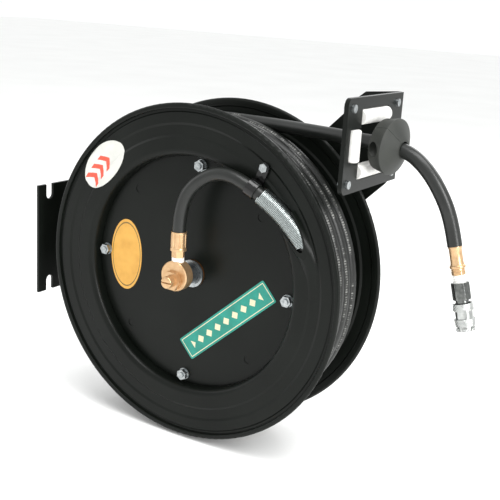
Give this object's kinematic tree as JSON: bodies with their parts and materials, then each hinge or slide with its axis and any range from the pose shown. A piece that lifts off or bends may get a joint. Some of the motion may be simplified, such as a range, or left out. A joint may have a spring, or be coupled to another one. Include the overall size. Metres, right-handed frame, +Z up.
{
  "type": "hose reel",
  "caption": "Wall-mounted spring-rewind hose reel with open steel drum, brass swivel, roller guide arm, ball stop and quick coupler.",
  "frame": {"origin": "middle of the bracket's face on the wall, level with the drum's shaft", "axes": "+X points out from the wall towards the hose's outlet, +Y runs along the shaft from the drum's front to its back, +Z is up"},
  "size_m": [0.6401, 0.215, 0.4795],
  "materials": {
    "black_steel": "satin black powder coat",
    "zinc_steel": "zinc plated",
    "plain_steel": "machined",
    "spring_steel": "oiled spring steel",
    "rubber_hose": "smooth black rubber",
    "black_rubber": "moulded black rubber",
    "brass": "turned brass",
    "bronze": "sintered bronze",
    "white_nylon": "white nylon",
    "chrome": "bright chrome",
    "white_tape": "white sealing tape",
    "seal_rubber": "seal rubber"
  },
  "bodies": {
    "bracket": {"wall_bracket": "black_steel", "guide_arm": "black_steel", "roller_front_plate": "black_steel", "roller_plate_screws": "zinc_steel", "roller_plate_nuts": "zinc_steel", "arm_bolts": "zinc_steel", "arm_nuts": "zinc_steel", "shaft": "zinc_steel", "shaft_nut": "zinc_steel", "spring_arbor": "plain_steel", "arbor_key": "plain_steel", "roller_pins": "zinc_steel", "retaining_ring": "spring_steel", "outlet_hose": "rubber_hose", "ball_stop_near_half": "black_rubber", "ball_stop_far_half": "black_rubber", "ball_stop_screws": "zinc_steel", "ball_stop_nuts": "zinc_steel", "outlet_ferrule": "brass", "outlet_nipple": "brass", "outlet_thread_tape": "white_tape", "coupler_body": "chrome", "coupler_balls": "plain_steel", "pawl_pivot": "zinc_steel", "pawl_spring": "spring_steel", "coupler_sleeve_spring": "spring_steel", "coupler_valve_spring": "spring_steel"},
    "drum": {"front_flange": "black_steel", "back_flange": "black_steel", "drum_core": "black_steel", "hose_inner_layer": "rubber_hose", "wound_hose": "rubber_hose", "spring_case": "black_steel", "spring_cover": "black_steel", "cover_bolts": "zinc_steel", "cover_nuts": "zinc_steel", "cover_washers": "zinc_steel", "power_spring": "spring_steel", "front_bushing": "bronze", "rear_bushing": "bronze", "hub_washer": "zinc_steel", "ratchet_wheel": "plain_steel", "swivel_body": "brass", "swivel_plug": "brass", "swivel_seals": "seal_rubber", "jumper_thread_tape": "white_tape", "jumper_nipple": "brass", "jumper_ferrule": "brass", "jumper_hose": "rubber_hose", "hose_clip": "zinc_steel", "clip_cushion": "black_rubber", "clip_screw": "zinc_steel", "hose_guard": "spring_steel"},
    "top_roller": {"top_roller": "white_nylon"},
    "bottom_roller": {"bottom_roller": "white_nylon"},
    "near_roller": {"near_roller": "white_nylon"},
    "far_roller": {"far_roller": "white_nylon"},
    "pawl": {"ratchet_pawl": "plain_steel"},
    "coupler_sleeve": {"coupler_sleeve": "chrome"},
    "coupler_valve": {"coupler_valve": "brass"}
  },
  "joints": [
    {"name": "drum_turn", "type": "hinge", "parent": "bracket", "child": "drum", "pos_m": [0.264, 0, 0], "axis": [0, 1, 0], "range_deg": [0, 3870], "stiffness_Nm_per_rad": 0.05, "springref_deg": -1718.87, "deforming": ["power_spring", "outlet_hose"]},
    {"name": "top_roller_turn", "type": "hinge", "parent": "bracket", "child": "top_roller", "pos_m": [0.4825, -0.0166, 0.23125], "axis": [0, 1, 0], "continuous": true},
    {"name": "bottom_roller_turn", "type": "hinge", "parent": "bracket", "child": "bottom_roller", "pos_m": [0.4825, -0.0166, 0.16725], "axis": [0, 1, 0], "continuous": true},
    {"name": "near_roller_turn", "type": "hinge", "parent": "bracket", "child": "near_roller", "pos_m": [0.4825, -0.0681, 0.19925], "axis": [0, 0, 1], "continuous": true},
    {"name": "far_roller_turn", "type": "hinge", "parent": "bracket", "child": "far_roller", "pos_m": [0.4825, 0.0349, 0.19925], "axis": [0, 0, 1], "continuous": true},
    {"name": "pawl_swing", "type": "hinge", "parent": "bracket", "child": "pawl", "pos_m": [0.34293, 0.058, 0.02873], "axis": [0, 1, 0], "range_deg": [0, 30], "stiffness_Nm_per_rad": 0.05, "springref_deg": -17.19, "deforming": ["pawl_spring"]},
    {"name": "coupler_sleeve_slide", "type": "slide", "parent": "bracket", "child": "coupler_sleeve", "axis": [-0.268, 0.0293, 0.963], "range_m": [0, 0.004], "stiffness_N_per_m": 400, "springref_m": -0.004, "deforming": ["coupler_sleeve_spring"]},
    {"name": "coupler_valve_slide", "type": "slide", "parent": "bracket", "child": "coupler_valve", "axis": [-0.268, 0.0293, 0.963], "range_m": [0, 0.003], "stiffness_N_per_m": 300, "springref_m": -0.003, "deforming": ["coupler_valve_spring"]}
  ]
}
